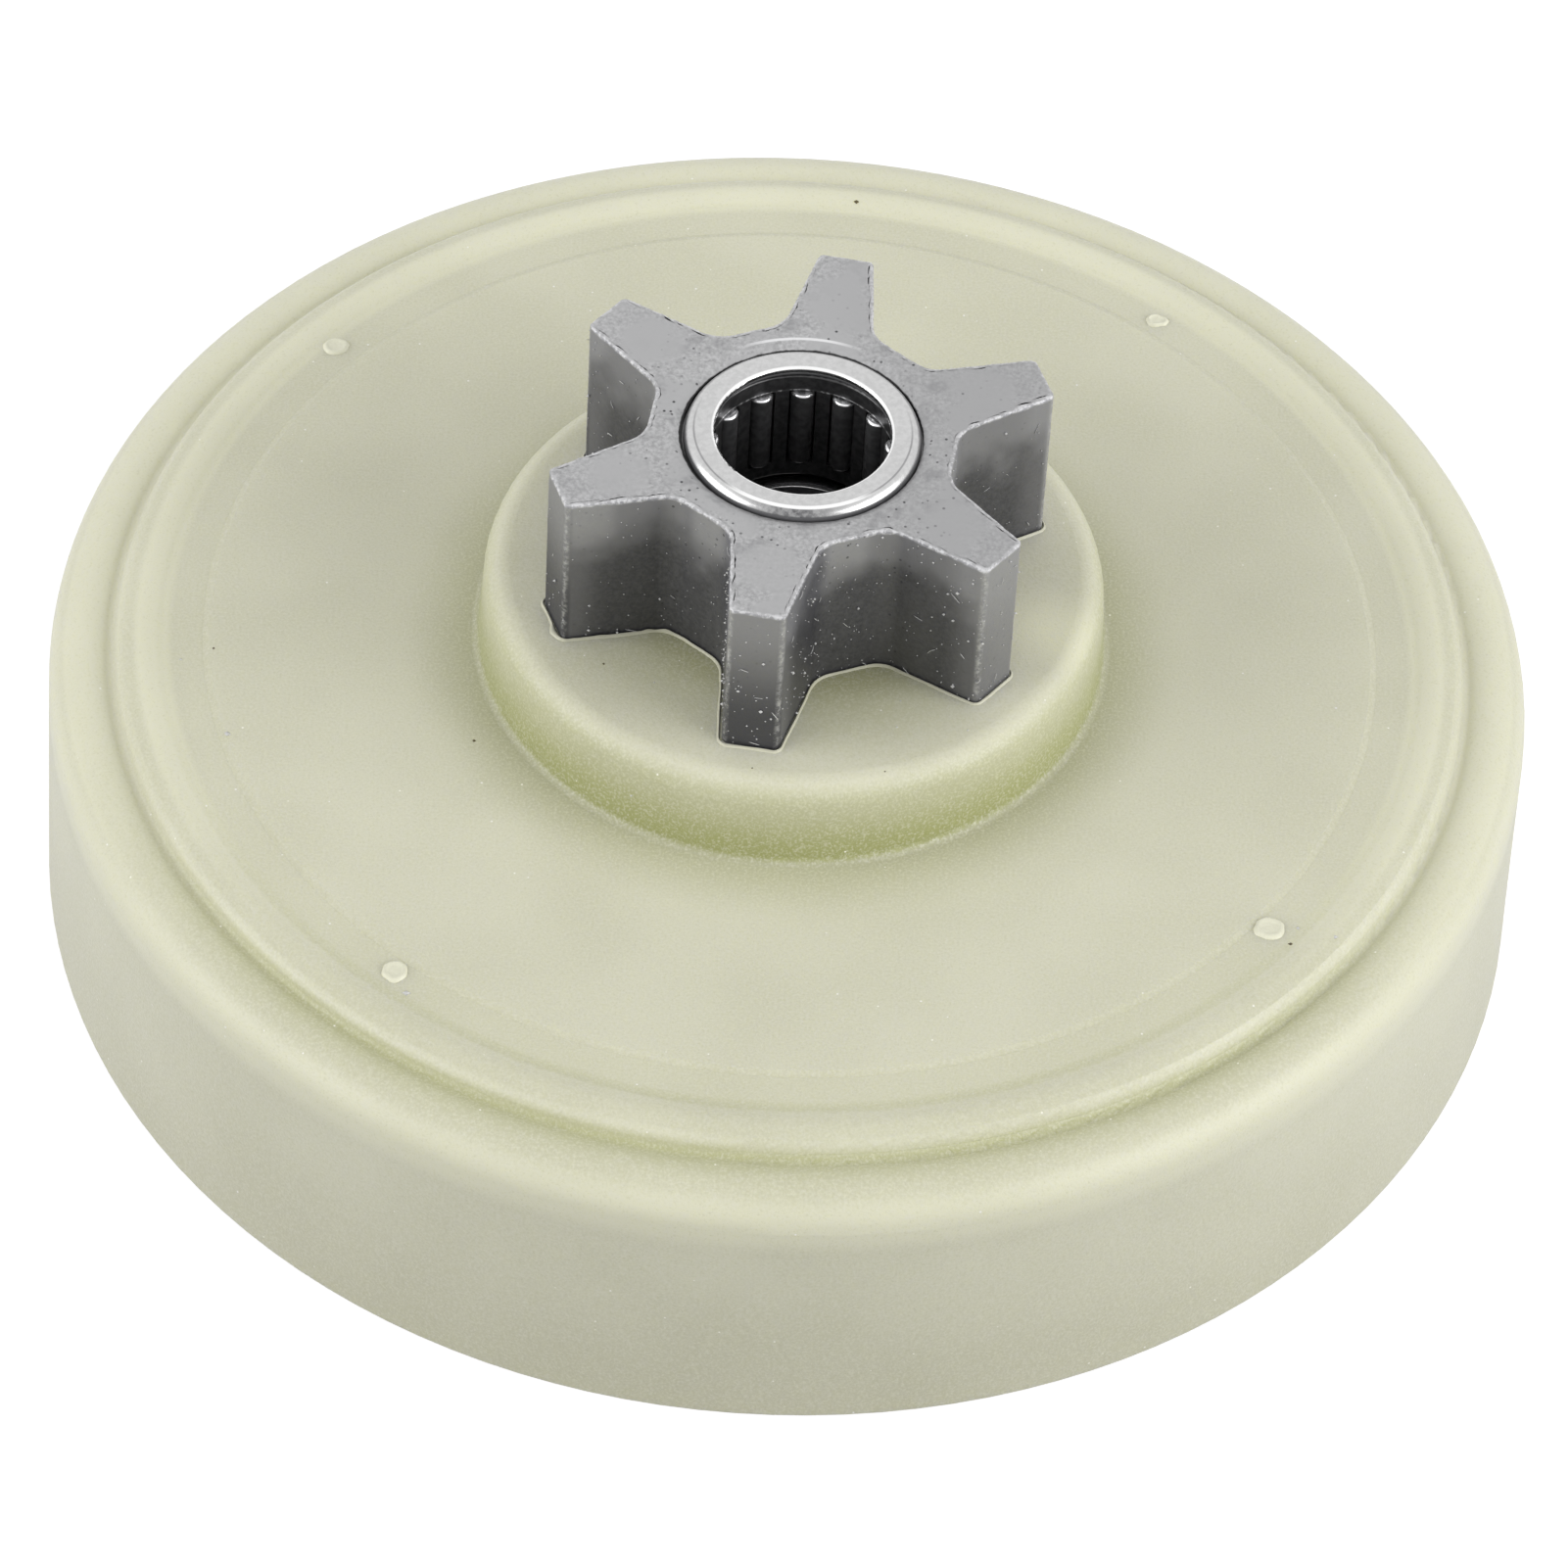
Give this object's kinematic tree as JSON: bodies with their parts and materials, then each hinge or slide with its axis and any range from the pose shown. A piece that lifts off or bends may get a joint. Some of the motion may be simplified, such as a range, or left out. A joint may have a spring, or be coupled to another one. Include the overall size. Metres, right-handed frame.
{
  "type": "chainsaw sprocket",
  "caption": "Drive sprocket of an electric chainsaw: a nylon drum with an internal ring gear, a moulded-in steel chain star and a needle bearing at each end of its bore.",
  "frame": {"origin": "centre of the drum's open rim, on the surface that the rim stands on", "axes": "+Z along the spin axis from the open rim towards the chain star; the picture looks along +Y and down"},
  "size_m": [0.0896, 0.0896, 0.0363],
  "materials": {
    "nylon": "satin moulded glass-filled nylon, natural ivory",
    "sintered_steel": "matt hardened steel with fine pits, bright worn edges",
    "bearing_steel": "bright drawn steel",
    "cage_steel": "oiled sheet steel",
    "needle_steel": "ground and polished steel"
  },
  "bodies": {
    "drum": {"gear_drum": "nylon", "sprocket": "sintered_steel", "upper_bearing_cup": "bearing_steel", "lower_bearing_cup": "bearing_steel"},
    "upper_bearing_cage": {"upper_bearing_cage": "cage_steel"},
    "upper_needle_01": {"upper_needle_01": "needle_steel"},
    "upper_needle_02": {"upper_needle_02": "needle_steel"},
    "upper_needle_03": {"upper_needle_03": "needle_steel"},
    "upper_needle_04": {"upper_needle_04": "needle_steel"},
    "upper_needle_05": {"upper_needle_05": "needle_steel"},
    "upper_needle_06": {"upper_needle_06": "needle_steel"},
    "upper_needle_07": {"upper_needle_07": "needle_steel"},
    "upper_needle_08": {"upper_needle_08": "needle_steel"},
    "upper_needle_09": {"upper_needle_09": "needle_steel"},
    "upper_needle_10": {"upper_needle_10": "needle_steel"},
    "upper_needle_11": {"upper_needle_11": "needle_steel"},
    "upper_needle_12": {"upper_needle_12": "needle_steel"},
    "upper_needle_13": {"upper_needle_13": "needle_steel"},
    "upper_needle_14": {"upper_needle_14": "needle_steel"},
    "lower_bearing_cage": {"lower_bearing_cage": "cage_steel"},
    "lower_needle_01": {"lower_needle_01": "needle_steel"},
    "lower_needle_02": {"lower_needle_02": "needle_steel"},
    "lower_needle_03": {"lower_needle_03": "needle_steel"},
    "lower_needle_04": {"lower_needle_04": "needle_steel"},
    "lower_needle_05": {"lower_needle_05": "needle_steel"},
    "lower_needle_06": {"lower_needle_06": "needle_steel"},
    "lower_needle_07": {"lower_needle_07": "needle_steel"},
    "lower_needle_08": {"lower_needle_08": "needle_steel"},
    "lower_needle_09": {"lower_needle_09": "needle_steel"},
    "lower_needle_10": {"lower_needle_10": "needle_steel"},
    "lower_needle_11": {"lower_needle_11": "needle_steel"},
    "lower_needle_12": {"lower_needle_12": "needle_steel"},
    "lower_needle_13": {"lower_needle_13": "needle_steel"},
    "lower_needle_14": {"lower_needle_14": "needle_steel"}
  },
  "joints": [
    {"name": "upper_cage_spin", "type": "hinge", "parent": "drum", "child": "upper_bearing_cage", "pos_m": [0, 0, 0.0313], "axis": [0, 0, 1], "continuous": true},
    {"name": "upper_needle_01_spin", "type": "hinge", "parent": "upper_bearing_cage", "child": "upper_needle_01", "pos_m": [-0.00015, 0.00575, 0.0313], "axis": [0, 0, 1], "continuous": true},
    {"name": "upper_needle_02_spin", "type": "hinge", "parent": "upper_bearing_cage", "child": "upper_needle_02", "pos_m": [-0.00263, 0.00512, 0.0313], "axis": [0, 0, 1], "continuous": true},
    {"name": "upper_needle_03_spin", "type": "hinge", "parent": "upper_bearing_cage", "child": "upper_needle_03", "pos_m": [-0.00459, 0.00347, 0.0313], "axis": [0, 0, 1], "continuous": true},
    {"name": "upper_needle_04_spin", "type": "hinge", "parent": "upper_bearing_cage", "child": "upper_needle_04", "pos_m": [-0.00564, 0.00113, 0.0313], "axis": [0, 0, 1], "continuous": true},
    {"name": "upper_needle_05_spin", "type": "hinge", "parent": "upper_bearing_cage", "child": "upper_needle_05", "pos_m": [-0.00558, -0.00143, 0.0313], "axis": [0, 0, 1], "continuous": true},
    {"name": "upper_needle_06_spin", "type": "hinge", "parent": "upper_bearing_cage", "child": "upper_needle_06", "pos_m": [-0.0044, -0.0037, 0.0313], "axis": [0, 0, 1], "continuous": true},
    {"name": "upper_needle_07_spin", "type": "hinge", "parent": "upper_bearing_cage", "child": "upper_needle_07", "pos_m": [-0.00236, -0.00525, 0.0313], "axis": [0, 0, 1], "continuous": true},
    {"name": "upper_needle_08_spin", "type": "hinge", "parent": "upper_bearing_cage", "child": "upper_needle_08", "pos_m": [0.00015, -0.00575, 0.0313], "axis": [0, 0, 1], "continuous": true},
    {"name": "upper_needle_09_spin", "type": "hinge", "parent": "upper_bearing_cage", "child": "upper_needle_09", "pos_m": [0.00263, -0.00512, 0.0313], "axis": [0, 0, 1], "continuous": true},
    {"name": "upper_needle_10_spin", "type": "hinge", "parent": "upper_bearing_cage", "child": "upper_needle_10", "pos_m": [0.00459, -0.00347, 0.0313], "axis": [0, 0, 1], "continuous": true},
    {"name": "upper_needle_11_spin", "type": "hinge", "parent": "upper_bearing_cage", "child": "upper_needle_11", "pos_m": [0.00564, -0.00113, 0.0313], "axis": [0, 0, 1], "continuous": true},
    {"name": "upper_needle_12_spin", "type": "hinge", "parent": "upper_bearing_cage", "child": "upper_needle_12", "pos_m": [0.00558, 0.00143, 0.0313], "axis": [0, 0, 1], "continuous": true},
    {"name": "upper_needle_13_spin", "type": "hinge", "parent": "upper_bearing_cage", "child": "upper_needle_13", "pos_m": [0.0044, 0.0037, 0.0313], "axis": [0, 0, 1], "continuous": true},
    {"name": "upper_needle_14_spin", "type": "hinge", "parent": "upper_bearing_cage", "child": "upper_needle_14", "pos_m": [0.00236, 0.00525, 0.0313], "axis": [0, 0, 1], "continuous": true},
    {"name": "lower_cage_spin", "type": "hinge", "parent": "drum", "child": "lower_bearing_cage", "pos_m": [0, 0, 0.0078], "axis": [0, 0, 1], "continuous": true},
    {"name": "lower_needle_01_spin", "type": "hinge", "parent": "lower_bearing_cage", "child": "lower_needle_01", "pos_m": [-0.00015, 0.00575, 0.0078], "axis": [0, 0, 1], "continuous": true},
    {"name": "lower_needle_02_spin", "type": "hinge", "parent": "lower_bearing_cage", "child": "lower_needle_02", "pos_m": [-0.00263, 0.00512, 0.0078], "axis": [0, 0, 1], "continuous": true},
    {"name": "lower_needle_03_spin", "type": "hinge", "parent": "lower_bearing_cage", "child": "lower_needle_03", "pos_m": [-0.00459, 0.00347, 0.0078], "axis": [0, 0, 1], "continuous": true},
    {"name": "lower_needle_04_spin", "type": "hinge", "parent": "lower_bearing_cage", "child": "lower_needle_04", "pos_m": [-0.00564, 0.00113, 0.0078], "axis": [0, 0, 1], "continuous": true},
    {"name": "lower_needle_05_spin", "type": "hinge", "parent": "lower_bearing_cage", "child": "lower_needle_05", "pos_m": [-0.00558, -0.00143, 0.0078], "axis": [0, 0, 1], "continuous": true},
    {"name": "lower_needle_06_spin", "type": "hinge", "parent": "lower_bearing_cage", "child": "lower_needle_06", "pos_m": [-0.0044, -0.0037, 0.0078], "axis": [0, 0, 1], "continuous": true},
    {"name": "lower_needle_07_spin", "type": "hinge", "parent": "lower_bearing_cage", "child": "lower_needle_07", "pos_m": [-0.00236, -0.00525, 0.0078], "axis": [0, 0, 1], "continuous": true},
    {"name": "lower_needle_08_spin", "type": "hinge", "parent": "lower_bearing_cage", "child": "lower_needle_08", "pos_m": [0.00015, -0.00575, 0.0078], "axis": [0, 0, 1], "continuous": true},
    {"name": "lower_needle_09_spin", "type": "hinge", "parent": "lower_bearing_cage", "child": "lower_needle_09", "pos_m": [0.00263, -0.00512, 0.0078], "axis": [0, 0, 1], "continuous": true},
    {"name": "lower_needle_10_spin", "type": "hinge", "parent": "lower_bearing_cage", "child": "lower_needle_10", "pos_m": [0.00459, -0.00347, 0.0078], "axis": [0, 0, 1], "continuous": true},
    {"name": "lower_needle_11_spin", "type": "hinge", "parent": "lower_bearing_cage", "child": "lower_needle_11", "pos_m": [0.00564, -0.00113, 0.0078], "axis": [0, 0, 1], "continuous": true},
    {"name": "lower_needle_12_spin", "type": "hinge", "parent": "lower_bearing_cage", "child": "lower_needle_12", "pos_m": [0.00558, 0.00143, 0.0078], "axis": [0, 0, 1], "continuous": true},
    {"name": "lower_needle_13_spin", "type": "hinge", "parent": "lower_bearing_cage", "child": "lower_needle_13", "pos_m": [0.0044, 0.0037, 0.0078], "axis": [0, 0, 1], "continuous": true},
    {"name": "lower_needle_14_spin", "type": "hinge", "parent": "lower_bearing_cage", "child": "lower_needle_14", "pos_m": [0.00236, 0.00525, 0.0078], "axis": [0, 0, 1], "continuous": true}
  ],
  "couplings": [
    {"joint": "upper_needle_01_spin", "follows": "upper_cage_spin", "ratio": -8.8435},
    {"joint": "upper_needle_02_spin", "follows": "upper_cage_spin", "ratio": -8.8435},
    {"joint": "upper_needle_03_spin", "follows": "upper_cage_spin", "ratio": -8.8435},
    {"joint": "upper_needle_04_spin", "follows": "upper_cage_spin", "ratio": -8.8435},
    {"joint": "upper_needle_05_spin", "follows": "upper_cage_spin", "ratio": -8.8435},
    {"joint": "upper_needle_06_spin", "follows": "upper_cage_spin", "ratio": -8.8435},
    {"joint": "upper_needle_07_spin", "follows": "upper_cage_spin", "ratio": -8.8435},
    {"joint": "upper_needle_08_spin", "follows": "upper_cage_spin", "ratio": -8.8435},
    {"joint": "upper_needle_09_spin", "follows": "upper_cage_spin", "ratio": -8.8435},
    {"joint": "upper_needle_10_spin", "follows": "upper_cage_spin", "ratio": -8.8435},
    {"joint": "upper_needle_11_spin", "follows": "upper_cage_spin", "ratio": -8.8435},
    {"joint": "upper_needle_12_spin", "follows": "upper_cage_spin", "ratio": -8.8435},
    {"joint": "upper_needle_13_spin", "follows": "upper_cage_spin", "ratio": -8.8435},
    {"joint": "upper_needle_14_spin", "follows": "upper_cage_spin", "ratio": -8.8435},
    {"joint": "lower_needle_01_spin", "follows": "lower_cage_spin", "ratio": -8.8435},
    {"joint": "lower_needle_02_spin", "follows": "lower_cage_spin", "ratio": -8.8435},
    {"joint": "lower_needle_03_spin", "follows": "lower_cage_spin", "ratio": -8.8435},
    {"joint": "lower_needle_04_spin", "follows": "lower_cage_spin", "ratio": -8.8435},
    {"joint": "lower_needle_05_spin", "follows": "lower_cage_spin", "ratio": -8.8435},
    {"joint": "lower_needle_06_spin", "follows": "lower_cage_spin", "ratio": -8.8435},
    {"joint": "lower_needle_07_spin", "follows": "lower_cage_spin", "ratio": -8.8435},
    {"joint": "lower_needle_08_spin", "follows": "lower_cage_spin", "ratio": -8.8435},
    {"joint": "lower_needle_09_spin", "follows": "lower_cage_spin", "ratio": -8.8435},
    {"joint": "lower_needle_10_spin", "follows": "lower_cage_spin", "ratio": -8.8435},
    {"joint": "lower_needle_11_spin", "follows": "lower_cage_spin", "ratio": -8.8435},
    {"joint": "lower_needle_12_spin", "follows": "lower_cage_spin", "ratio": -8.8435},
    {"joint": "lower_needle_13_spin", "follows": "lower_cage_spin", "ratio": -8.8435},
    {"joint": "lower_needle_14_spin", "follows": "lower_cage_spin", "ratio": -8.8435}
  ]
}
